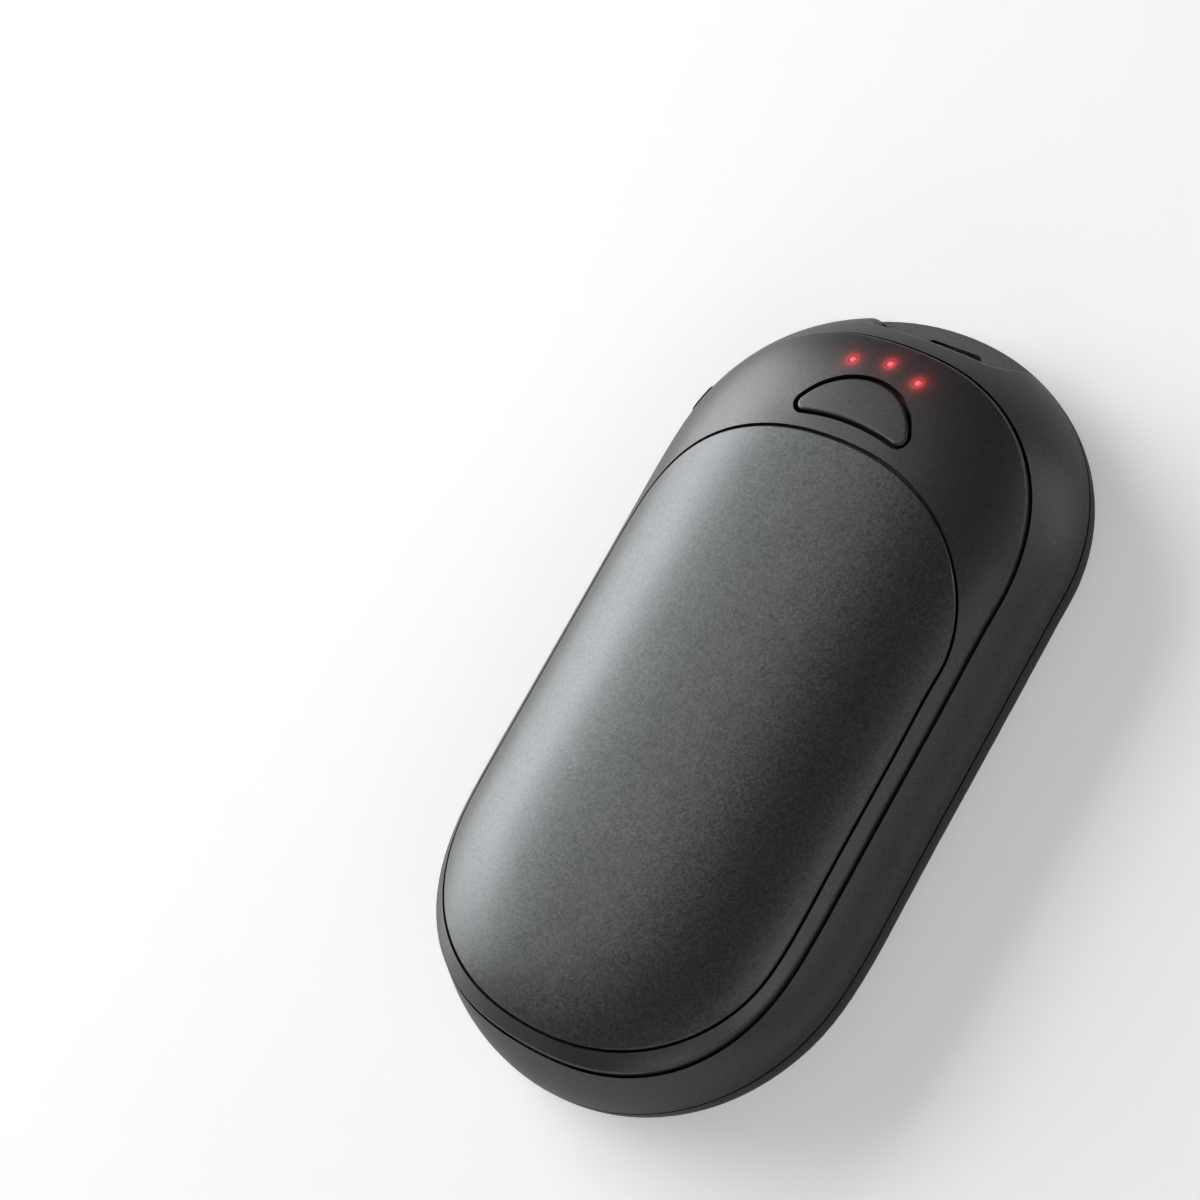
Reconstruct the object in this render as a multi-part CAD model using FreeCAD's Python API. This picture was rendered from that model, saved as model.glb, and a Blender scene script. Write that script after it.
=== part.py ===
import FreeCAD, Part
import math
import os
from collections import namedtuple

# A rechargeable pocket hand warmer that lies on its back, in millimetres.
# X runs across it, Y from its foot to its button end and Z up out of its front.
# The origin is the middle of its back face.

# Outline at the back seam, where the body is widest
half_width = 26.0
half_length = 46.4
body_top_end = 22.5
body_foot_end = 26.4
body_fullness = 2.04

# Outline of the front panel
panel_half_width = 22.7
panel_top_reach = 40.3
panel_foot_reach = 43.2
panel_top_end = 21.8
panel_foot_end = 23.5
panel_fullness = 2.39

# Outline of the front cover
cover_half_width = 21.4
cover_top_reach = 27.3
cover_foot_reach = 41.3
cover_top_end = 17.9
cover_foot_end = 19.7
cover_fullness = 2.21

# Heights above the back face
back_depth = 5.2
panel_side_height = 11.2
panel_top_height = 13.9
panel_foot_height = 13.2
crown_height = 17.0

# Run of the front crown and of the sloping wall
crown_drop = 1.06
shoulder_power = 4.77
wall_power = 1.57
wall_height_shares = (0.0, 0.25, 0.5, 0.75, 1.03)

# Walls, seams and edges
back_edge_radius = 4.4
floor_thickness = 1.3
wall_thickness = 2.2
seam_gap = 0.28
seam_groove = 0.3
rim_height = 1.0
rim_thickness = 0.9
rim_clearance = 0.15
flange_height = 7.8
panel_seat_height = 9.0
panel_skirt = 2.0
panel_thickness = 2.2
panel_edge = 0.4
panel_proud = 0.35

# Front cover and what is glued to it
cover_thickness = 0.8
cover_edge = 0.25
adhesive_thickness = 0.15
adhesive_margin = 0.3
seat_width = 3.0
film_thickness = 0.25
film_clearance = 0.2
insulation_inset = 0.6

# Strap notch and slot
notch_depth = 3.9
notch_half_width = 7.4
notch_flare = 4.4
notch_wall = 1.6
notch_edge = 0.9
strap_slot_length = 7.2
strap_slot_width = 1.5
strap_bar = 1.7

# Button
button_radius = 7.7
button_top_reach = 34.9
button_sag = 5.1
button_lower_radius = 26.0
button_corner = 0.9
button_gap = 0.48
button_edge = 0.3
button_flange = 0.8
button_flange_thickness = 0.8
button_stem_radius = 1.7
button_play = 0.05
button_travel = 0.5

# Switch under the button
switch_width = 6.0
switch_height = 3.5
plunger_radius = 1.7
plunger_rise = 1.2
plunger_depth = 1.2
plunger_play = 0.05

# Lights
light_arc_drop = 1.0
light_pitch = 4.3
light_top_reach = 37.5
light_tip_radius = 0.45
light_rod_radius = 0.7
light_play = 0.08
light_shoulder_gap = 0.5
light_bar_height = 1.0
led_length = 1.6
led_width = 0.8
led_height = 0.6
led_air = 0.2

# Board and what is soldered to it
board_thickness = 1.0
board_margin = 2.3
board_start = 22.3
chip_width = 5.0
charger_width = 4.0
chip_height = 0.9
inductor_width = 5.0
inductor_height = 2.8
inductor_edge = 0.6
capacitor_length = 1.6
capacitor_width = 0.8
capacitor_count = 4
connector_length = 6.4
connector_width = 2.0
connector_height = 1.0
post_radius = 2.4
post_place_shares = ((0.66, 0.33), (0.59, 0.71), (-0.17, 0.325))
chip_place_share = (0.37, 0.49)
charger_place_share = (-0.6, 0.25)
inductor_place_share = (-0.44, 0.59)
capacitor_place_share = (-0.79, 0.14)
screw_radius = 0.8
screw_head_radius = 1.5
screw_head_height = 0.9
screw_length = 4.0
screw_play = 0.05
screw_drive_width = 0.4
screw_drive_length = 1.8
screw_drive_depth = 0.5

# Charging port, counted along the outline from the side in degrees
port_turn = 28.0
port_height = 5.5
port_width = 8.94
port_tall = 3.26
port_length = 7.3
port_skin = 0.3
port_play = 0.1
port_setback = 0.5
tongue_width = 6.7
tongue_thickness = 0.7
tongue_setback = 1.0
tongue_base = 1.2

# Port flap
flap_start_turn = 8.0
flap_end_turn = 52.0
flap_low = 2.4
flap_high = 8.8
flap_thickness = 3.0
flap_gap = 0.2
flap_backing = 1.7
flap_upper_round = 4.4
flap_lower_round = 1.8
hinge_ease = 0.4
hinge_radius = 1.2
hinge_low = 2.8
hinge_high = 7.0
hinge_pin_radius = 0.35
hinge_pin_play = 0.05
hinge_pin_hold = 0.5
tab_length = 3.4
tab_tall = 4.6
tab_rise = 0.25
tab_corner = 0.8
nub_depth = 1.4
nub_play = 0.4
nub_edge = 0.5

# Battery, its frame and its pads
cell_half_width = 16.0
cell_top_reach = 19.9
cell_foot_reach = 32.2
cell_thickness = 8.4
cell_corner = 2.5
cell_edge = 1.2
cell_clearance = 0.2
cell_air = 0.05
tape_thickness = 0.15
tape_margin = 3.0
pad_thickness = 0.8
frame_wall = 1.2
frame_corner = 5.0
frame_plate = 1.2
strip_width = 3.0
strip_thickness = 0.15
strip_pitch = 14.0
strip_lap = 3.0
tail_width = 5.0
tail_air = 0.3
thermistor_size = 1.6
thermistor_offset = 6.0

# One length that every cut runs past its piece
overrun = 2.0

# Steps along the outlines and over the crown
end_steps = 12
side_steps = 4
crown_steps_across = 16
crown_steps_along = 26

# Shares of the outline that the crown patch covers, and where it runs on straight
patch_share = 1.07
straight_share = 1.1

Form = namedtuple("Form", "half_width top foot top_end foot_end fullness")
body_form = Form(half_width, half_length, half_length, body_top_end, body_foot_end, body_fullness)
panel_form = Form(panel_half_width, panel_top_reach, panel_foot_reach, panel_top_end, panel_foot_end,
                  panel_fullness)
cover_form = Form(cover_half_width, cover_top_reach, cover_foot_reach, cover_top_end, cover_foot_end,
                  cover_fullness)
up = FreeCAD.Vector(0, 0, 1)


def point(x, y, z=0):
    return FreeCAD.Vector(x, y, z)


def inset(form, distance):
    """The same outline drawn in on all sides."""
    return Form(form.half_width - distance, form.top - distance, form.foot - distance,
                form.top_end - distance, form.foot_end - distance, form.fullness)


def top_centre(form):
    return form.top - form.top_end


def foot_centre(form):
    return form.foot_end - form.foot


def rounded(value, fullness):
    return math.copysign(abs(value) ** (2 / fullness), value)


def rim(form):
    """Points round an outline, each with its share of the way from side to end."""
    points = []
    for step in range(end_steps + 1):
        turn = math.pi * step / end_steps
        rise = math.sin(turn)
        points.append((form.half_width * rounded(math.cos(turn), form.fullness),
                       top_centre(form) + form.top_end * rounded(rise, form.fullness), rise))
    run = top_centre(form) - foot_centre(form)
    for step in range(1, side_steps):
        points.append((-form.half_width, top_centre(form) - run * step / side_steps, 0))
    for step in range(end_steps + 1):
        turn = math.pi * step / end_steps
        rise = math.sin(turn)
        points.append((-form.half_width * rounded(math.cos(turn), form.fullness),
                       foot_centre(form) - form.foot_end * rounded(rise, form.fullness), -rise))
    for step in range(1, side_steps):
        points.append((form.half_width, foot_centre(form) + run * step / side_steps, 0))
    return points


def loop(points):
    """A smooth closed curve through points."""
    curve = Part.BSplineCurve()
    curve.interpolate(Points=points, PeriodicFlag=True)
    return Part.Wire(curve.toShape())


def prism(form, low, high):
    """An outline raised from one height to another."""
    wire = loop([point(x, y, low) for x, y, _ in rim(form)])
    return Part.Face(wire).extrude(point(0, 0, high - low))


def slab(x_low, x_high, y_low, y_high, z_low, z_high):
    return Part.makeBox(x_high - x_low, y_high - y_low, z_high - z_low, point(x_low, y_low, z_low))


def block(x, y, z, length, width, height):
    """A box that stands on a height, centred on a place."""
    return slab(x - length / 2, x + length / 2, y - width / 2, y + width / 2, z, z + height)


def rod(x, y, low, high, radius):
    return Part.makeCylinder(radius, high - low, point(x, y, low))


def upright_edges(shape):
    return [edge for edge in shape.Edges
            if len(edge.Vertexes) == 2 and abs(edge.tangentAt(edge.FirstParameter).dot(up)) > 0.99]


def highest_face(shape):
    return max(shape.Faces, key=lambda face: face.CenterOfMass.z)


def lowest_face(shape):
    return min(shape.Faces, key=lambda face: face.CenterOfMass.z)


def seam_height(share):
    """Height of the panel's edge, from a side (0) to the top (1) or the foot (-1)."""
    end_height = panel_top_height if share > 0 else panel_foot_height
    return panel_side_height + (end_height - panel_side_height) * share ** 2


def crown(x, y):
    """Height of the front crown over a place."""
    along = max(0, y - top_centre(panel_form)) / panel_top_end
    along += min(0, y - foot_centre(panel_form)) / panel_foot_end
    across = x / panel_half_width
    reach = (abs(across) ** panel_fullness + abs(along) ** panel_fullness) ** (1 / panel_fullness)
    edge = seam_height(along / reach) if reach > 0 else panel_side_height
    kept = min(reach, straight_share)
    fall = crown_height - crown_drop - edge
    height = crown_height - crown_drop * kept ** 2 - fall * kept ** shoulder_power
    slope = 2 * crown_drop * kept + fall * shoulder_power * kept ** (shoulder_power - 1)
    return height - slope * (reach - kept)


def crown_patch():
    """The crowned front as one smooth surface."""
    wide = panel_half_width * patch_share
    top = panel_top_reach * patch_share
    foot = -panel_foot_reach * patch_share
    rows = []
    for i in range(crown_steps_across + 1):
        x = wide * (2 * i / crown_steps_across - 1)
        columns = [foot + (top - foot) * j / crown_steps_along for j in range(crown_steps_along + 1)]
        rows.append([point(x, y, crown(x, y)) for y in columns])
    surface = Part.BSplineSurface()
    surface.interpolate(rows)
    return surface.toShape()


crown_face = crown_patch()


def layer(start, end):
    """What lies between two depths under the crown."""
    face = crown_face.translated(point(0, 0, -start))
    return face.extrude(point(0, 0, start - end))


def under_crown(form, low, depth=0):
    """An outline filled from a height up to a depth under the crown."""
    return prism(form, low, crown_height + overrun).common(layer(depth, depth + crown_height))


def wall_section(height, grow):
    """Outline of the sloping wall at a height over the back seam."""
    points = []
    for outer, inner in zip(rim(inset(body_form, -grow)), rim(inset(panel_form, -grow))):
        share = (height / (seam_height(outer[2]) - panel_proud - back_depth)) ** wall_power
        points.append(point(outer[0] + (inner[0] - outer[0]) * share,
                            outer[1] + (inner[1] - outer[1]) * share, back_depth + height))
    return loop(points)


def wall_form(grow=0):
    """The sloping outer wall as a solid body."""
    rise = panel_top_height - back_depth
    return Part.makeLoft([wall_section(rise * share, grow) for share in wall_height_shares], True)


def seam_ring():
    """The shallow groove round the back seam."""
    ring = prism(inset(body_form, -overrun), back_depth - seam_groove / 2, back_depth + seam_groove / 2)
    return ring.cut(prism(inset(body_form, seam_groove), 0, back_depth + overrun))


def back_form(grow=0):
    """The back tray as a solid body with its rounded edge."""
    shape = prism(inset(body_form, -grow), 0, back_depth)
    return shape.makeFillet(back_edge_radius, lowest_face(shape).Edges)


# The notch in the button end, seen from the front
def notch_cut(low, high):
    """A bay cut back from the button end, with flared ends."""
    back = half_length - notch_depth
    end = notch_half_width + notch_flare
    out = half_length + overrun
    left_low = point(-notch_half_width, back, low)
    right_low = point(notch_half_width, back, low)
    left_out = point(-end, half_length, low)
    right_out = point(end, half_length, low)
    bend = notch_flare / 2
    left = Part.BezierCurve()
    left.setPoles([left_out, point(-end + bend, half_length, low), point(-notch_half_width - bend, back, low),
                   left_low])
    right = Part.BezierCurve()
    right.setPoles([right_low, point(notch_half_width + bend, back, low), point(end - bend, half_length, low),
                    right_out])
    edges = [left.toShape(), Part.makeLine(left_low, right_low), right.toShape(),
             Part.makeLine(right_out, point(end, out, low)),
             Part.makeLine(point(end, out, low), point(-end, out, low)),
             Part.makeLine(point(-end, out, low), left_out)]
    return Part.Face(Part.Wire(edges)).extrude(point(0, 0, high - low))


def soften_notch(shape):
    """Rounds the edge where the notch breaks out of the sloping wall."""
    inner = half_length - notch_depth - notch_edge
    edges = []
    for edge in shape.Edges:
        ends = [vertex.Point for vertex in edge.Vertexes]
        chord = ends[-1] - ends[0]
        in_bay = all(place.y > inner and abs(place.x) < notch_half_width + notch_flare for place in ends)
        raised = (ends[0].z + ends[-1].z) / 2 > back_depth + notch_edge
        if in_bay and raised and abs(chord.dot(up)) < 0.95 * chord.Length:
            edges.append(edge)
    return shape.makeFillet(notch_edge, edges)


def strap_slot():
    """The slot that a strap loops through, behind a bar at the edge."""
    outer = half_length - strap_bar
    radius = strap_slot_width / 2
    centre = outer - radius
    reach = strap_slot_length / 2 - radius
    shape = slab(-reach, reach, centre - radius, outer, -overrun, back_depth + overrun)
    for side in (-1, 1):
        shape = shape.fuse(rod(side * reach, centre, -overrun, back_depth + overrun, radius))
    return shape.removeSplitter()


# Places along the left end of the outline
def left_rim(form, turn):
    angle = math.radians(turn)
    return point(-form.half_width * rounded(math.cos(angle), form.fullness),
                 top_centre(form) + form.top_end * rounded(math.sin(angle), form.fullness))


def left_normal(turn):
    """Angle of the outward direction at a turn, from the left side towards the top."""
    angle = math.radians(turn)
    return math.degrees(math.atan2(half_width * math.sin(angle), body_top_end * math.cos(angle)))


def along_rim(distance):
    return math.degrees(distance / half_width)


def sector(start_turn, end_turn, low, high):
    """A wedge from the middle of the top end out past two places on the rim."""
    hub = point(0, top_centre(body_form), low)
    corners = [hub]
    for turn in (start_turn, (start_turn + end_turn) / 2, end_turn):
        spoke = left_rim(body_form, turn) - point(0, top_centre(body_form))
        spoke.multiply((half_width + half_length) / spoke.Length)
        corners.append(hub + spoke)
    corners.append(hub)
    return Part.Face(Part.makePolygon(corners)).extrude(point(0, 0, high - low))


def at_port(shape, turn, depth):
    """Sets a shape, built looking along -X at the origin, into the wall."""
    place = left_rim(body_form, turn)
    angle = left_normal(turn)
    outward = point(-math.cos(math.radians(angle)), math.sin(math.radians(angle)))
    moved = shape.copy()
    moved.rotate(point(0, 0), up, -angle)
    moved.translate(place - outward * depth + point(0, 0, port_height))
    return moved


def port_bar(start, end, width, tall, corner):
    """A bar with rounded edges that runs inward from the port's face."""
    shape = slab(start, end, -width / 2, width / 2, -tall / 2, tall / 2)
    edges = [edge for edge in shape.Edges if abs(edge.tangentAt(edge.FirstParameter).x) > 0.99]
    return shape.makeFillet(corner, edges)


port_depth = flap_thickness + flap_gap + port_setback
hinge_turn = flap_end_turn
hinge_place = left_rim(inset(body_form, hinge_radius), hinge_turn)


def spoke_edges(shape, turn):
    """The edges of a wedge that run out along one spoke, lowest first."""
    spoke = left_rim(body_form, turn) - point(0, top_centre(body_form))
    spoke.normalize()
    edges = [edge for edge in shape.Edges if abs(edge.tangentAt(edge.FirstParameter).dot(spoke)) > 0.999]
    return sorted(edges, key=lambda edge: edge.CenterOfMass.z)


def flap_room(ease):
    """The space of the flap in the wall, grown by a clearance."""
    start = flap_start_turn - along_rim(ease)
    end = hinge_turn + along_rim(ease)
    shape = sector(start, end, flap_low - ease, flap_high + ease)
    loose = hinge_ease if ease else 0
    shape = shape.makeFillet(flap_upper_round - loose, spoke_edges(shape, end)[-1:])
    shape = shape.makeFillet(flap_lower_round - loose, spoke_edges(shape, end)[:1])
    if ease:
        past = hinge_turn + along_rim(hinge_radius + ease)
        hinge_start = hinge_turn - along_rim(hinge_radius)
        shape = shape.fuse(sector(hinge_start, past, hinge_low - ease, hinge_high + ease))
    return shape.cut(prism(inset(body_form, flap_thickness + ease), -overrun, crown_height))


def port_tunnel():
    return at_port(port_bar(0, flap_thickness + flap_backing + overrun, port_width + 2 * port_play,
                            port_tall + 2 * port_play, port_tall / 2), port_turn, 0)


def backing_sector(ease, low, high):
    step = along_rim(wall_thickness + ease)
    return sector(flap_start_turn - step, flap_end_turn + 2 * step, low, high)


def port_backing(low, high):
    """The thicker wall behind the flap that frames the port."""
    ring = prism(inset(body_form, wall_thickness / 2), low, high)
    ring = ring.cut(prism(inset(body_form, flap_thickness + flap_backing), low, high))
    return ring.common(backing_sector(0, low, high))


def pin_hole(play):
    return rod(hinge_place.x, hinge_place.y, hinge_low - hinge_pin_hold - play,
               hinge_high + hinge_pin_hold + play, hinge_pin_radius + play)


# Board places
board_low = port_height + port_tall / 2
board_high = board_low + board_thickness
switch_y = button_top_reach - button_sag / 2


def board_place(share):
    """A place on the board from shares of its half width and its length."""
    run = panel_top_reach - board_margin - board_start
    return share[0] * (panel_half_width - board_margin), board_start + share[1] * run


post_places = [board_place(share) for share in post_place_shares]


def board_outline(low, high):
    shape = prism(inset(panel_form, board_margin), low, high)
    return shape.common(slab(-half_width, half_width, board_start, half_length, low, high))


def make_back_cover():
    shape = back_form()
    cavity_form = inset(body_form, wall_thickness)
    cavity = prism(cavity_form, floor_thickness, back_depth + overrun)
    cavity = cavity.makeFillet(back_edge_radius - wall_thickness, lowest_face(cavity).Edges)
    cavity_top = half_length - notch_depth - notch_wall
    room = slab(-half_width, half_width, -half_length, cavity_top, 0, back_depth + 2 * overrun)
    shape = shape.cut(cavity.common(room).cut(port_backing(0, back_depth + overrun)))
    rim_form = inset(cavity_form, rim_clearance)
    ring = prism(rim_form, back_depth - rim_height, back_depth + rim_height)
    ring = ring.cut(prism(inset(rim_form, rim_thickness), 0, back_depth + overrun))
    ring = ring.cut(backing_sector(rim_clearance, 0, back_depth + overrun))
    shape = shape.fuse(ring.common(room))
    for x, y in post_places:
        post = rod(x, y, floor_thickness / 2, board_low, post_radius)
        shape = shape.fuse(post.cut(rod(x, y, floor_thickness, board_low, screw_radius + screw_play)))
    shape = shape.cut(flap_room(flap_gap)).cut(port_tunnel()).cut(pin_hole(hinge_pin_play))
    return shape.cut(strap_slot()).cut(seam_ring()).removeSplitter()


def make_mid_shell():
    shape = wall_form()
    low_room = prism(inset(body_form, wall_thickness), 0, flange_height)
    cavity_top = half_length - notch_depth - notch_wall
    low_room = low_room.common(slab(-half_width, half_width, -half_length, cavity_top, 0, flange_height))
    shape = shape.cut(low_room.cut(port_backing(0, flange_height)))
    shape = shape.cut(prism(inset(panel_form, panel_skirt), 0, crown_height + overrun))
    shape = shape.cut(prism(inset(panel_form, -seam_gap), panel_seat_height, crown_height + overrun))
    shape = soften_notch(shape.cut(notch_cut(0, crown_height)))
    shape = shape.cut(flap_room(flap_gap)).cut(port_tunnel()).cut(pin_hole(hinge_pin_play))
    return shape.cut(seam_ring()).removeSplitter()


def button_outline(grow, low, high):
    """The half-moon: a round top over a hollow lower edge, with round corners."""
    radius = button_radius + grow
    round_part = rod(0, button_top_reach - button_radius, low, high, radius)
    hollow_centre = button_top_reach - button_sag - button_lower_radius
    shape = round_part.cut(rod(0, hollow_centre, low, high, button_lower_radius - grow))
    return shape.makeFillet(button_corner + grow, upright_edges(shape))


def light_places():
    side = light_top_reach - light_arc_drop
    return ((-light_pitch, side), (0, light_top_reach), (light_pitch, side))


def make_front_panel():
    shape = under_crown(panel_form, panel_seat_height)
    shape = shape.makeFillet(panel_edge, highest_face(shape).Edges)
    hollow = under_crown(inset(panel_form, panel_skirt), panel_seat_height - overrun, panel_thickness)
    shape = shape.cut(hollow)
    recess = prism(inset(cover_form, -seam_gap), 0, crown_height + overrun)
    shape = shape.cut(recess.common(layer(-overrun, cover_thickness + adhesive_thickness)))
    shape = shape.cut(prism(inset(cover_form, seat_width), 0, crown_height + overrun))
    shape = shape.cut(button_outline(button_gap, panel_seat_height, crown_height + overrun))
    for x, y in light_places():
        shape = shape.cut(rod(x, y, 0, crown_height + overrun, light_tip_radius + light_play))
    return shape


def make_front_cover():
    shape = prism(cover_form, 0, crown_height + overrun).common(layer(0, cover_thickness))
    return shape.makeFillet(cover_edge, highest_face(shape).Edges)


def make_cover_adhesive():
    ring = prism(inset(cover_form, adhesive_margin), 0, crown_height + overrun)
    ring = ring.cut(prism(inset(cover_form, seat_width - adhesive_margin), 0, crown_height + overrun))
    return ring.common(layer(cover_thickness, cover_thickness + adhesive_thickness))


film_form = inset(cover_form, seat_width + film_clearance)
film_depth = cover_thickness + film_thickness
tail_y = board_start + connector_width / 2


def make_front_heater():
    film = prism(film_form, 0, crown_height + overrun).common(layer(cover_thickness, film_depth))
    foot = board_high + connector_height
    tail = block(0, tail_y, foot, tail_width, film_thickness, crown_height)
    tail = tail.common(layer(cover_thickness, crown_height))
    return film.fuse(tail).removeSplitter()


frame_half_width = cell_half_width + cell_clearance + frame_wall
frame_top = cell_top_reach + cell_clearance + frame_wall
frame_foot = cell_foot_reach + cell_clearance + frame_wall
cell_low = floor_thickness + film_thickness + pad_thickness + tape_thickness
frame_plate_low = cell_low + cell_thickness + cell_air
frame_plate_high = frame_plate_low + frame_plate


def make_front_insulation():
    pad = under_crown(inset(film_form, insulation_inset), frame_plate_high, film_depth)
    half = frame_half_width
    return pad.common(slab(-half, half, -frame_foot, frame_top, 0, crown_height))


def make_thermistor():
    y = (frame_top + tail_y) / 2
    bead = block(thermistor_offset, y, 0, thermistor_size, thermistor_size / 2, crown_height)
    return bead.common(layer(film_depth, film_depth + thermistor_size / 2))


def make_inner_frame():
    shape = slab(-frame_half_width, frame_half_width, -frame_foot, frame_top, floor_thickness,
                 frame_plate_high)
    shape = shape.makeFillet(frame_corner, upright_edges(shape))
    room = slab(-cell_half_width - cell_clearance, cell_half_width + cell_clearance,
                -cell_foot_reach - cell_clearance, cell_top_reach + cell_clearance, 0, frame_plate_low)
    shape = shape.cut(room.makeFillet(cell_corner, upright_edges(room)))
    gate_high = floor_thickness + 2 * film_thickness
    shape = shape.cut(block(0, frame_top, 0, tail_width + 2 * tail_air, 4 * frame_wall, gate_high))
    for side in (-1, 1):
        x = side * strip_pitch / 2
        shape = shape.cut(block(x, frame_top, board_high - tail_air, strip_width + 2 * tail_air,
                                4 * frame_wall, strip_thickness + 2 * tail_air))
    return shape


def make_battery_cell():
    shape = slab(-cell_half_width, cell_half_width, -cell_foot_reach, cell_top_reach, cell_low,
                 cell_low + cell_thickness)
    shape = shape.makeFillet(cell_corner, upright_edges(shape))
    return shape.makeFillet(cell_edge, highest_face(shape).Edges + lowest_face(shape).Edges)


def make_cell_tape():
    return slab(-cell_half_width + tape_margin, cell_half_width - tape_margin, -cell_foot_reach + tape_margin,
                cell_top_reach - tape_margin, cell_low - tape_thickness, cell_low)


def make_cell_strips():
    strips = []
    for side in (-1, 1):
        x = side * strip_pitch / 2
        strips.append(slab(x - strip_width / 2, x + strip_width / 2, cell_top_reach, board_start + strip_lap,
                           board_high, board_high + strip_thickness))
    return Part.makeCompound(strips)


def make_rear_heater():
    film = slab(-cell_half_width, cell_half_width, -cell_foot_reach, cell_top_reach, floor_thickness,
                floor_thickness + film_thickness)
    film = film.makeFillet(cell_corner, upright_edges(film))
    path = slab(-tail_width / 2, tail_width / 2, cell_top_reach - cell_corner,
                tail_y + film_thickness / 2, floor_thickness, floor_thickness + film_thickness)
    tail = block(0, tail_y, floor_thickness, tail_width, film_thickness,
                 board_low - connector_height - floor_thickness)
    return film.fuse(path).fuse(tail).removeSplitter()


def make_rear_insulation():
    low = floor_thickness + film_thickness
    pad = slab(-cell_half_width, cell_half_width, -cell_foot_reach, cell_top_reach, low, low + pad_thickness)
    return pad.makeFillet(cell_corner, upright_edges(pad))


def make_main_board():
    shape = board_outline(board_low, board_high)
    for x, y in post_places:
        shape = shape.cut(rod(x, y, board_low, board_high, screw_radius + screw_play))
    return shape


def make_board_screws():
    screws = []
    for x, y in post_places:
        top = board_high + screw_head_height
        head = rod(x, y, board_high, top, screw_head_radius)
        floor = top - screw_drive_depth
        head = head.cut(block(x, y, floor, screw_drive_length, screw_drive_width, overrun))
        head = head.cut(block(x, y, floor, screw_drive_width, screw_drive_length, overrun))
        screws.append(head.fuse(rod(x, y, board_high - screw_length, board_high, screw_radius)))
    return Part.makeCompound(screws)


def make_status_leds():
    return Part.makeCompound([block(x, y, board_high, led_length, led_width, led_height)
                              for x, y in light_places()])


def make_light_guide():
    shape = None
    low = board_high + led_height + led_air
    tops = [crown(x, y + light_rod_radius) - panel_thickness - light_shoulder_gap for x, y in light_places()]
    shoulder = min(tops)
    for x, y in light_places():
        pin = rod(x, y, low, shoulder, light_rod_radius)
        pin = pin.fuse(rod(x, y, shoulder, crown_height, light_tip_radius).common(layer(0, crown_height)))
        shape = pin if shape is None else shape.fuse(pin)
    bar = slab(-light_pitch, light_pitch, light_top_reach - light_arc_drop,
               light_top_reach + light_rod_radius / 2, shoulder - light_bar_height, shoulder)
    return shape.fuse(bar).removeSplitter()


def make_tact_switch():
    shape = block(0, switch_y, board_high, switch_width, switch_width, switch_height)
    top = board_high + switch_height
    floor = top - plunger_depth - button_travel - plunger_play
    return shape.cut(rod(0, switch_y, floor, top, plunger_radius + plunger_play))


def make_switch_plunger():
    top = board_high + switch_height
    return rod(0, switch_y, top - plunger_depth, top + plunger_rise, plunger_radius)


def make_power_button():
    cap = button_outline(0, panel_seat_height, crown_height + overrun)
    cap = cap.common(layer(0, panel_thickness + button_play + button_flange_thickness))
    cap = cap.makeFillet(button_edge, highest_face(cap).Edges)
    flange = button_outline(button_gap + button_flange, panel_seat_height, crown_height + overrun)
    start = panel_thickness + button_play
    flange = flange.common(layer(start, start + button_flange_thickness))
    stem_low = board_high + switch_height + plunger_rise + button_play
    stem = rod(0, switch_y, stem_low, crown_height, button_stem_radius)
    stem = stem.common(layer(panel_thickness, crown_height))
    return cap.fuse(flange).fuse(stem).removeSplitter()


def make_usb_shell():
    corner = port_tall / 2 - port_play
    bar = port_bar(0, port_length, port_width, port_tall, corner)
    bore = port_bar(-overrun, port_length - port_skin, port_width - 2 * port_skin, port_tall - 2 * port_skin,
                    corner - port_skin)
    return at_port(bar.cut(bore), port_turn, port_depth)


def make_usb_tongue():
    blade = slab(tongue_setback, port_length - port_skin, -tongue_width / 2, tongue_width / 2,
                 -tongue_thickness / 2, tongue_thickness / 2)
    base_tall = port_tall - 2 * port_skin - 2 * port_play
    base = port_bar(port_length - port_skin - tongue_base, port_length - port_skin,
                    port_width - 2 * port_skin - 2 * port_play, base_tall, base_tall / 2 - port_play)
    return at_port(blade.fuse(base), port_turn, port_depth)


def make_micro_controller():
    x, y = board_place(chip_place_share)
    return block(x, y, board_high, chip_width, chip_width, chip_height)


def make_charge_chip():
    x, y = board_place(charger_place_share)
    return block(x, y, board_high, charger_width, charger_width, chip_height)


def make_power_inductor():
    x, y = board_place(inductor_place_share)
    shape = block(x, y, board_high, inductor_width, inductor_width, inductor_height)
    return shape.makeFillet(inductor_edge, upright_edges(shape))


def make_chip_capacitors():
    x, y = board_place(capacitor_place_share)
    return Part.makeCompound([block(x, y + step * 2 * capacitor_width, board_high, capacitor_length,
                                    capacitor_width, capacitor_width) for step in range(capacitor_count)])


def make_heater_connectors():
    upper = block(0, tail_y, board_high, connector_length, connector_width, connector_height)
    lower = block(0, tail_y, board_low - connector_height, connector_length, connector_width,
                  connector_height)
    return Part.makeCompound([upper, lower])


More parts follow.
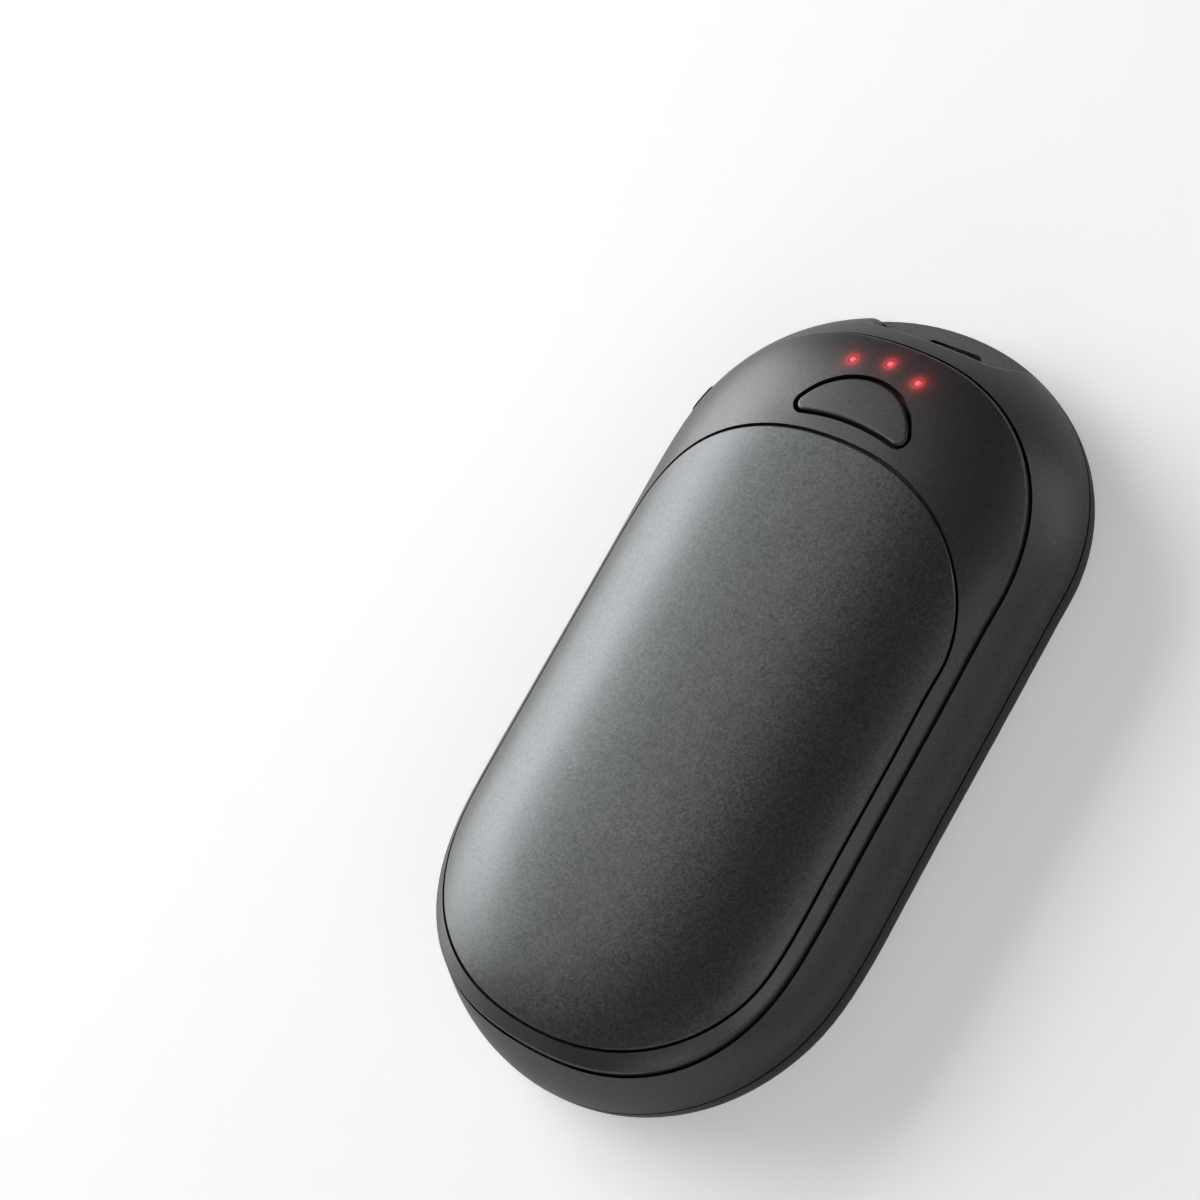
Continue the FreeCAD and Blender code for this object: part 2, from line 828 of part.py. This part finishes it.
def make_port_flap():
    body = back_form().fuse(wall_form())
    shape = body.common(flap_room(0))
    barrel = rod(hinge_place.x, hinge_place.y, hinge_low, hinge_high, hinge_radius).common(body)
    shape = shape.fuse(barrel)
    shape = shape.cut(rod(hinge_place.x, hinge_place.y, 0, crown_height, hinge_pin_radius + hinge_pin_play))
    tab_turn = flap_start_turn + along_rim(tab_length / 2 + flap_gap)
    tab = at_port(port_bar(-overrun, flap_thickness / 3, tab_length, tab_tall, tab_corner), tab_turn, 0)
    raised = back_form(tab_rise).fuse(wall_form(tab_rise))
    shape = shape.fuse(tab.common(raised))
    nub = port_bar(-flap_thickness / 2, nub_depth, port_width - 2 * port_skin - 2 * nub_play,
                   port_tall - 2 * port_skin - 2 * nub_play, nub_edge)
    return shape.fuse(at_port(nub, port_turn, flap_thickness)).removeSplitter()


def make_flap_pin():
    return pin_hole(0)


makers = {
    "back_cover": make_back_cover,
    "mid_shell": make_mid_shell,
    "front_panel": make_front_panel,
    "front_cover": make_front_cover,
    "cover_adhesive": make_cover_adhesive,
    "front_heater": make_front_heater,
    "front_insulation": make_front_insulation,
    "thermistor": make_thermistor,
    "inner_frame": make_inner_frame,
    "battery_cell": make_battery_cell,
    "cell_tape": make_cell_tape,
    "cell_strips": make_cell_strips,
    "rear_heater": make_rear_heater,
    "rear_insulation": make_rear_insulation,
    "main_board": make_main_board,
    "board_screws": make_board_screws,
    "status_leds": make_status_leds,
    "light_guide": make_light_guide,
    "tact_switch": make_tact_switch,
    "switch_plunger": make_switch_plunger,
    "power_button": make_power_button,
    "usb_shell": make_usb_shell,
    "usb_tongue": make_usb_tongue,
    "micro_controller": make_micro_controller,
    "charge_chip": make_charge_chip,
    "power_inductor": make_power_inductor,
    "chip_capacitors": make_chip_capacitors,
    "heater_connectors": make_heater_connectors,
    "port_flap": make_port_flap,
    "flap_pin": make_flap_pin,
}

os.makedirs("parts", exist_ok=True)
for name, maker in makers.items():
    solid = maker()
    solid.exportStep(os.path.join("parts", name + ".step"))
    print(name, len(solid.Solids), round(solid.Volume, 1), solid.isValid())
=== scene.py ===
# %% [markdown]
# # A pocket hand warmer, dressed in Blender
# The shapes of this hand warmer come from a CAD model. This lesson loads that
# model as a fixed frame, sets the camera and a small studio round it, and then gives every piece the
# finish of its real material. We start with the frame, because everything else is placed against it.

# %% Load the frame
import bpy
import math
from mathutils import Matrix, Vector

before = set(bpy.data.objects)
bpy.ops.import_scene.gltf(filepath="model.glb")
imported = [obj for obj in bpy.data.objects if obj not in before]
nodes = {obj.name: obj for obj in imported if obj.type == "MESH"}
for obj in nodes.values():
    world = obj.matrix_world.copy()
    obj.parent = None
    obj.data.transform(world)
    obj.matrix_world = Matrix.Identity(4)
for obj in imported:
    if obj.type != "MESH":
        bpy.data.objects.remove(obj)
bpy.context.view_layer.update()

# %% [markdown]
# ## The camera
# A product shot like this one is taken with a long lens, so that the rounded ends keep their shape.
# The camera looks down on the front from the right, rolled so that the button end points up and to the
# right. We could aim it with a tracking constraint, but that allows no roll, so its axes are written out.

# %% Camera
middle = Vector((0, 0, 0.008))
lens_mm = 90.1
sensor_mm = 36.0
nearest_seen = 0.01
camera_place = Vector((0.1688, -0.0389, 0.2755))
view_right = Vector((0.74277, 0.49105, -0.45516))
view_up = Vector((-0.33888, 0.86201, 0.37696))
view_back = view_right.cross(view_up)

camera_data = bpy.data.cameras.new("camera")
camera_data.lens = lens_mm
camera_data.sensor_width = sensor_mm
camera_data.clip_start = nearest_seen
camera = bpy.data.objects.new("camera", camera_data)
bpy.context.scene.collection.objects.link(camera)
axes = Matrix((view_right, view_up, view_back)).transposed().to_4x4()
camera.matrix_world = Matrix.Translation(camera_place) @ axes
bpy.context.scene.camera = camera
print("camera is", round((camera_place - middle).length, 3), "m away")

# %% [markdown]
# ## The studio
# Satin surfaces show the lamps as soft bands, so the lamps are large. A broad softbox at the left gives
# the bright left flank of the front, a strip above it carries that light on to the crown, and four weak
# strips open the sloping wall. The room itself stays dim, which leaves the right of the front dark.
# Each lamp is given by the brightness that a mirror would show, and its power follows from its size.

# %% Lamps
lamp_distance = 0.7
softbox_size = (0.8, 0.55)
strip_size = (0.45, 0.2)


def lamp(name, azimuth, elevation, size, radiance):
    """A soft lamp that faces the object, placed by its angles in degrees."""
    data = bpy.data.lights.new(name, "AREA")
    data.shape = "RECTANGLE"
    data.size, data.size_y = size
    data.energy = radiance * math.pi * size[0] * size[1]
    made = bpy.data.objects.new(name, data)
    turn, rise = math.radians(azimuth), math.radians(elevation)
    towards = Vector((math.cos(turn) * math.cos(rise), math.sin(turn) * math.cos(rise), math.sin(rise)))
    made.location = middle + towards * lamp_distance
    made.rotation_mode = "QUATERNION"
    made.rotation_quaternion = towards.to_track_quat("Z", "Y")
    bpy.context.scene.collection.objects.link(made)
    return made


lamps = [
    lamp("left_softbox", 176, 20, softbox_size, 4.2),
    lamp("upper_strip", 174, 36, strip_size, 4.1),
    lamp("right_strip", 45, 12, strip_size, 1.5),
    lamp("near_strip", 350, 32, strip_size, 1.6),
    lamp("foot_strip", 295, 26, strip_size, 1.8),
    lamp("low_strip", 222, 5, strip_size, 1.3),
]
print("lamps:", [made.name for made in lamps])

# %% [markdown]
# ## Colours and nodes
# Finishes are written as the hex colours that a designer would name, and one function turns them to the
# linear values that the renderer works with. A second small function adds a shader node with its
# settings and links, so that each material below reads as a short recipe, and a last one puts a finished
# material on its pieces.

# %% Colour and node helpers
def linear(code):
    """A hex colour as linear red, green, blue and alpha."""
    parts = [int(code[i:i + 2], 16) / 255 for i in (1, 3, 5)]
    return [p / 12.92 if p <= 0.04045 else ((p + 0.055) / 1.055) ** 2.4 for p in parts] + [1.0]


def add(tree, kind, settings={}, inputs={}):
    """Adds a shader node, sets its settings and fills or links its inputs."""
    made = tree.nodes.new("ShaderNode" + kind)
    for name, value in settings.items():
        setattr(made, name, value)
    for name, value in inputs.items():
        if isinstance(value, bpy.types.NodeSocket):
            tree.links.new(value, made.inputs[name])
        else:
            made.inputs[name].default_value = value
    return made


def start(name):
    """An empty material and its node tree."""
    material = bpy.data.materials.new(name)
    material.use_nodes = True
    material.node_tree.nodes.clear()
    return material, material.node_tree


def close(tree, shader):
    """Sends a shader to the output of its material."""
    add(tree, "OutputMaterial", inputs={"Surface": shader.outputs[0]})


def per_metre(size_mm):
    """Texture scale that gives a pattern its real size in millimetres."""
    return 1000.0 / size_mm


def dress(material, *names):
    """Gives pieces one material in place of the one that they came with."""
    for name in names:
        nodes[name].data.materials.clear()
        nodes[name].data.materials.append(material)
    print(material.name, "on", ", ".join(names))


print("mid grey in linear light:", round(linear("#808080")[0], 3))

# %% [markdown]
# ## Floor and surroundings
# The object lies on a sheet of white paper that runs far past the picture. Paper is not a perfect white,
# so a little brightness of its own is added, for the camera alone: in reflections it would make the wall
# of the shell too pale. A backdrop curve is not needed, because the camera looks down and sees no horizon.

# %% Paper floor
paper_reach = 3.0
paper_drop = 0.0001
paper_fibre_mm = 2.0
paper_lift = 0.32
paper_roughness = 0.9

paper, tree = start("white_paper")
spot = add(tree, "TexCoord")
fibre = add(tree, "TexNoise", inputs={"Vector": spot.outputs["Object"], "Scale": per_metre(paper_fibre_mm)})
tint = add(tree, "ValToRGB", inputs={"Fac": fibre.outputs["Fac"]})
tint.color_ramp.elements[0].color = linear("#f1f1f1")
tint.color_ramp.elements[1].color = linear("#f6f6f6")
ray = add(tree, "LightPath")
lift = add(tree, "Math", {"operation": "MULTIPLY"}, {0: ray.outputs["Is Camera Ray"], 1: paper_lift})
sheet = add(tree, "BsdfPrincipled", inputs={"Base Color": tint.outputs["Color"],
                                           "Roughness": paper_roughness,
                                           "Emission Color": linear("#ffffff"),
                                           "Emission Strength": lift.outputs[0]})
close(tree, sheet)
corners = [(x * paper_reach, y * paper_reach, -paper_drop) for x, y in ((-1, -1), (1, -1), (1, 1), (-1, 1))]
floor_mesh = bpy.data.meshes.new("paper_floor")
floor_mesh.from_pydata(corners, [], [(0, 1, 2, 3)])
floor_mesh.materials.append(paper)
floor = bpy.data.objects.new("paper_floor", floor_mesh)
bpy.context.scene.collection.objects.link(floor)
print("paper floor laid", paper_drop * 1000, "mm under the back")

# %% [markdown]
# ## The room
# The room is a soft grey that is paler near the horizon than overhead. A picture of a real room would do
# as well, but a plain gradient keeps the reflections clean and the script free of other files.

# %% Dim room
room_low = 0.06
room_high = 0.12
room_rise = (0.1, 0.9)

world = bpy.data.worlds.new("dim_room")
world.use_nodes = True
room = world.node_tree
sky = add(room, "TexCoord")
parts = add(room, "SeparateXYZ", inputs={"Vector": sky.outputs["Generated"]})
level = add(room, "MapRange", {"interpolation_type": "SMOOTHSTEP"},
            {"Value": parts.outputs["Z"], "From Min": room_rise[0], "From Max": room_rise[1],
             "To Min": room_low, "To Max": room_high})
room.links.new(level.outputs[0], room.nodes["Background"].inputs["Strength"])
room.nodes["Background"].inputs["Color"].default_value = linear("#ffffff")
bpy.context.scene.world = world
bpy.context.scene.view_settings.view_transform = "Standard"
print("room from", room_low, "at the horizon to", room_high, "overhead")

# %% [markdown]
# ## Anodised aluminium front cover
# The front is a thin aluminium plate, bead blasted and then anodised in a dark grey. Blasting leaves
# tiny craters that sparkle one by one, and the anodising keeps the metal's soft sheen. The craters are
# about a tenth of a millimetre; they are drawn twice as coarse so that they show in the picture.

# %% Anodised aluminium
grit_mm = 0.2
cloud_mm = 6.0
grit_depth = 0.00002
grit_strength = 0.25
cloud_share = 0.12
metal_roughness = (0.36, 0.46)


def anodised_aluminium():
    material, tree = start("blasted_anodised_aluminium")
    spot = add(tree, "TexCoord")
    grit = add(tree, "TexVoronoi", {"feature": "F1"},
               {"Vector": spot.outputs["Object"], "Scale": per_metre(grit_mm)})
    cloud = add(tree, "TexNoise",
                inputs={"Vector": spot.outputs["Object"], "Scale": per_metre(cloud_mm), "Detail": 3.0})
    fleck = add(tree, "ValToRGB", inputs={"Fac": grit.outputs["Color"]})
    fleck.color_ramp.elements[0].color = linear("#545657")
    fleck.color_ramp.elements[1].color = linear("#6b6d6e")
    shade = add(tree, "Mix", {"data_type": "RGBA", "blend_type": "MULTIPLY"},
                {"Factor": cloud_share, 6: fleck.outputs["Color"], 7: cloud.outputs["Fac"]})
    dull = add(tree, "MapRange", inputs={"Value": grit.outputs["Color"], "To Min": metal_roughness[0],
                                         "To Max": metal_roughness[1]})
    dent = add(tree, "Bump",
               inputs={"Strength": grit_strength, "Distance": grit_depth,
                       "Height": grit.outputs["Distance"]})
    metal = add(tree, "BsdfPrincipled", inputs={"Base Color": shade.outputs[2], "Metallic": 1.0,
                                               "Roughness": dull.outputs[0], "Normal": dent.outputs[0]})
    close(tree, metal)
    return material


dress(anodised_aluminium(), "front_cover")

# %% [markdown]
# ## Satin-painted plastic
# The shell, the panel and the button are moulded in ABS and sprayed with a charcoal satin paint that
# holds a little metal powder. The eye sees an even dark grey with a broad soft gloss and a trace of
# fine grain. One recipe serves them all, with a slightly smoother paint on the panel and the button.
# Round the lights these two also show a red bloom. A glare filter could draw it, but that is lost when
# the model is used elsewhere, so the paint gives it off itself, less and less with the distance, and
# only where it faces up, which keeps the walls of the button's groove black.

# %% Painted ABS
light_pitch = 0.0043
light_reach = 0.0375
light_drop = 0.0010
light_places = [(side * light_pitch, light_reach - abs(side) * light_drop, 0) for side in (-1, 0, 1)]
glow_reach = 0.0008
glow_level = 0.25
glow_limit = 0.7
glow_power = 2.6
glow_slope = (0.6, 0.9)
paint_grain_mm = 0.25
paint_relief = 0.00002
paint_strength = 0.12
paint_band = (0.3, 0.7)
paint_spread = 0.04
paint_powder = 0.9
paint_ior = 1.5


def nearest_light(tree, spot):
    """Distance of a place on the front from the nearest light, seen from above."""
    flat = add(tree, "VectorMath", {"operation": "MULTIPLY"}, {0: spot.outputs["Object"], 1: (1, 1, 0)})
    near = None
    for place in light_places:
        away = add(tree, "VectorMath", {"operation": "DISTANCE"}, {0: flat.outputs[0], 1: place})
        near = away.outputs["Value"] if near is None else add(
            tree, "Math", {"operation": "MINIMUM"}, {0: near, 1: away.outputs["Value"]}).outputs[0]
    return near


def satin_paint(name, dark, pale, roughness, lit=False):
    material, tree = start(name)
    spot = add(tree, "TexCoord")
    grain = add(tree, "TexNoise",
                inputs={"Vector": spot.outputs["Object"], "Scale": per_metre(paint_grain_mm), "Detail": 2.0})
    tone = add(tree, "ValToRGB", inputs={"Fac": grain.outputs["Fac"]})
    tone.color_ramp.elements[0].color = linear(dark)
    tone.color_ramp.elements[1].color = linear(pale)
    tone.color_ramp.elements[0].position, tone.color_ramp.elements[1].position = paint_band
    dull = add(tree, "MapRange", inputs={"Value": grain.outputs["Fac"], "To Min": roughness - paint_spread,
                                         "To Max": roughness + paint_spread})
    dent = add(tree, "Bump",
               inputs={"Strength": paint_strength, "Distance": paint_relief, "Height": grain.outputs["Fac"]})
    paint = add(tree, "BsdfPrincipled",
                inputs={"Base Color": tone.outputs["Color"], "Roughness": dull.outputs[0],
                        "Metallic": paint_powder, "IOR": paint_ior, "Normal": dent.outputs[0]})
    # painted glow: the red light of the tips on the panel and the button is given off by their own paint,
    # weaker with distance from each tip and only on faces that look up
    if lit:
        near = add(tree, "Math", {"operation": "DIVIDE"}, {0: glow_reach, 1: nearest_light(tree, spot)})
        fade = add(tree, "Math", {"operation": "POWER"}, {0: near.outputs[0], 1: glow_power})
        facing = add(tree, "SeparateXYZ", inputs={"Vector": spot.outputs["Normal"]})
        level = add(tree, "MapRange", inputs={"Value": facing.outputs["Z"], "From Min": glow_slope[0],
                                              "From Max": glow_slope[1], "To Max": glow_level})
        glow = add(tree, "Math", {"operation": "MULTIPLY"}, {0: fade.outputs[0], 1: level.outputs[0]})
        bloom = add(tree, "Math", {"operation": "MINIMUM"}, {0: glow.outputs[0], 1: glow_limit})
        paint.inputs["Emission Color"].default_value = linear("#ff4545")
        tree.links.new(bloom.outputs[0], paint.inputs["Emission Strength"])
    close(tree, paint)
    return material


dress(satin_paint("satin_painted_shell", "#525253", "#5f5f60", 0.42), "mid_shell", "back_cover")
dress(satin_paint("satin_painted_panel", "#525253", "#5f5f60", 0.4, lit=True), "front_panel", "power_button")

# %% [markdown]
# ## Red lights
# Three little rods of clear plastic bring the light of the lamps on the board up to the panel. Lit, each
# tip is a pale red core that falls off to a deep red rim, so the brightness is taken from the distance
# to the middle of the tip. The red bloom on the panel round each tip is part of the panel's paint above.

# %% Lit light guide
light_tip = 0.00045
acrylic_roughness = 0.15
acrylic_ior = 1.49


def lit_acrylic():
    material, tree = start("lit_acrylic_light_guide")
    spot = add(tree, "TexCoord")
    core = add(tree, "MapRange", inputs={"Value": nearest_light(tree, spot), "From Max": light_tip})
    heat = add(tree, "ValToRGB", inputs={"Fac": core.outputs[0]})
    heat.color_ramp.elements[0].color = linear("#ff8f90")
    heat.color_ramp.elements[1].color = linear("#c84446")
    acrylic = add(tree, "BsdfPrincipled",
                  inputs={"Base Color": linear("#7a1416"), "Roughness": acrylic_roughness, "IOR": acrylic_ior,
                          "Emission Color": heat.outputs["Color"], "Emission Strength": 1.0})
    close(tree, acrylic)
    return material


dress(lit_acrylic(), "light_guide", "status_leds")

# %% [markdown]
# ## Port flap
# The flap over the charging port is moulded in a soft rubber and sprayed with the same charcoal paint,
# so that it does not stand out from the shell. On rubber the paint dries a little duller, and that
# rougher satin is the one thing that changes in the recipe.

# %% Sprayed rubber
dress(satin_paint("satin_sprayed_rubber", "#505051", "#5c5c5d", 0.47), "port_flap")

# %% [markdown]
# ## Inside pieces
# Little of the inside can be seen, and only with the flap swung out, but each piece is still finished in
# its own material. They differ in colour, gloss and grain, so a table of those is enough for one recipe.

# %% Inside finishes
inside_spread = 0.05


def plain_finish(name, dark, pale, roughness, metallic, grain_mm):
    material, tree = start(name)
    spot = add(tree, "TexCoord")
    grain = add(tree, "TexNoise", inputs={"Vector": spot.outputs["Object"], "Scale": per_metre(grain_mm),
                                          "Detail": 3.0})
    tone = add(tree, "ValToRGB", inputs={"Fac": grain.outputs["Fac"]})
    tone.color_ramp.elements[0].color = linear(dark)
    tone.color_ramp.elements[1].color = linear(pale)
    dull = add(tree, "MapRange", inputs={"Value": grain.outputs["Fac"], "To Min": roughness - inside_spread,
                                         "To Max": roughness + inside_spread})
    body = add(tree, "BsdfPrincipled", inputs={"Base Color": tone.outputs["Color"],
                                              "Roughness": dull.outputs[0], "Metallic": metallic})
    close(tree, body)
    return material


inside = {
    "drawn_stainless_steel": ("#a9adb1", "#b8bcc0", 0.3, 1.0, 0.4, ["usb_shell"]),
    "zinc_plated_steel": ("#a7aaae", "#c2c5c9", 0.35, 1.0, 0.5, ["board_screws", "flap_pin"]),
    "rolled_nickel": ("#b9b6ae", "#cfccc4", 0.3, 1.0, 0.8, ["cell_strips"]),
    "foil_pouch": ("#aeb1b5", "#c0c3c7", 0.35, 0.8, 2.0, ["battery_cell"]),
    "black_moulded_nylon": ("#18191a", "#222324", 0.5, 0.0, 0.6,
                            ["usb_tongue", "tact_switch", "switch_plunger", "micro_controller", "charge_chip",
                             "power_inductor", "inner_frame"]),
    "solder_mask": ("#174a2a", "#1f5a34", 0.3, 0.0, 1.0, ["main_board"]),
    "polyimide_film": ("#a5621a", "#c47a26", 0.25, 0.0, 1.5, ["front_heater", "rear_heater"]),
    "ceramic_paper": ("#cfccc2", "#e0ddd5", 0.9, 0.0, 0.7,
                      ["front_insulation", "rear_insulation", "cell_tape", "cover_adhesive"]),
    "fired_ceramic": ("#a88d60", "#bfa577", 0.6, 0.0, 0.3, ["thermistor", "chip_capacitors"]),
    "white_moulded_nylon": ("#d2cfc6", "#dedbd3", 0.5, 0.0, 0.5, ["heater_connectors"]),
}
for name, (dark, pale, roughness, metallic, grain_mm, wearers) in inside.items():
    dress(plain_finish(name, dark, pale, roughness, metallic, grain_mm), *wearers)
